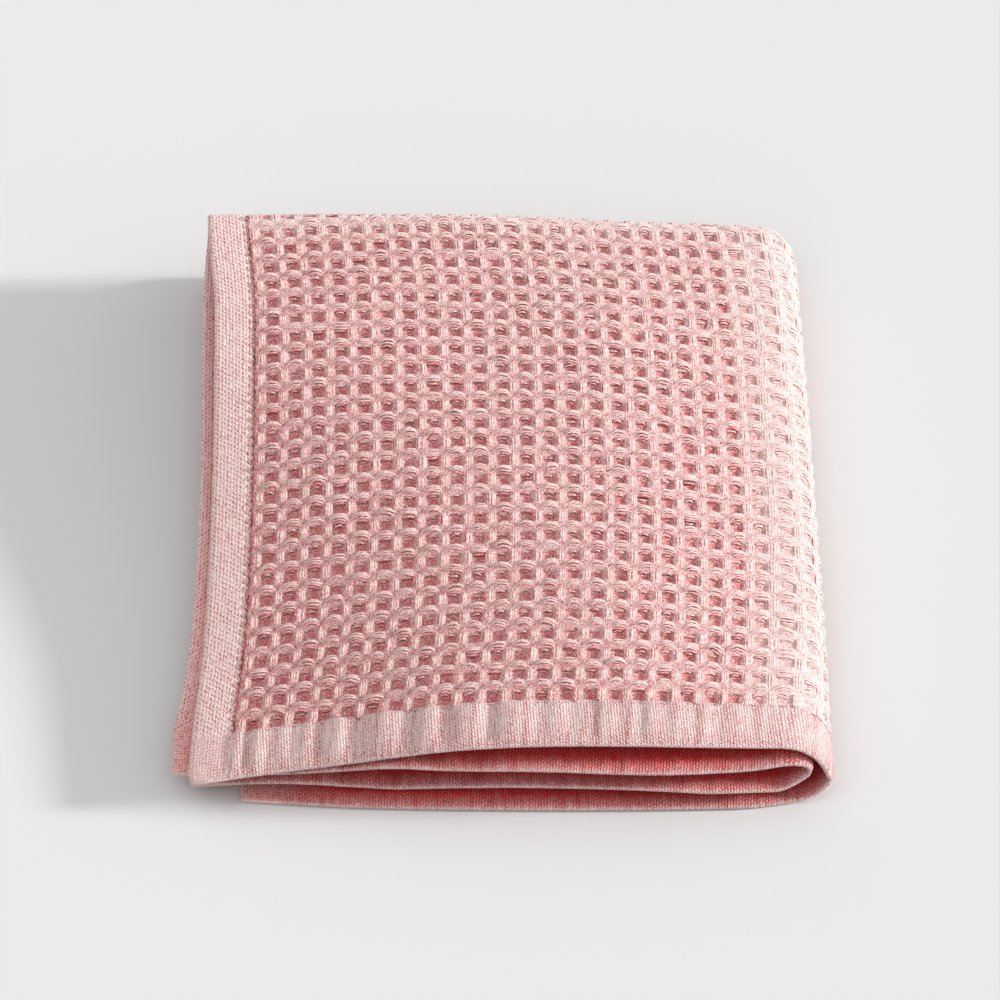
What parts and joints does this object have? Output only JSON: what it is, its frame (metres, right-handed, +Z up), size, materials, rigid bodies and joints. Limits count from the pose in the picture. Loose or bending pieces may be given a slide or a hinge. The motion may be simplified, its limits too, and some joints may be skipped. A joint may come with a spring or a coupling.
{
  "type": "folded waffle-weave washcloth",
  "caption": "Hemmed cotton waffle-weave washcloth folded into a small square, with closed folds at the back and the right and its hemmed edges at the front and the left.",
  "frame": {"origin": "on the surface it lies on, below the middle of its folded outline", "axes": "+X towards the closed side fold, +Y towards the back folds, +Z up through the layers"},
  "size_m": [0.1682, 0.1712, 0.0306],
  "materials": {
    "cotton": "matt pink cotton, honeycomb weave with a flat hem all round"
  },
  "bodies": {
    "root": {"washcloth": "cotton"}
  },
  "joints": []
}
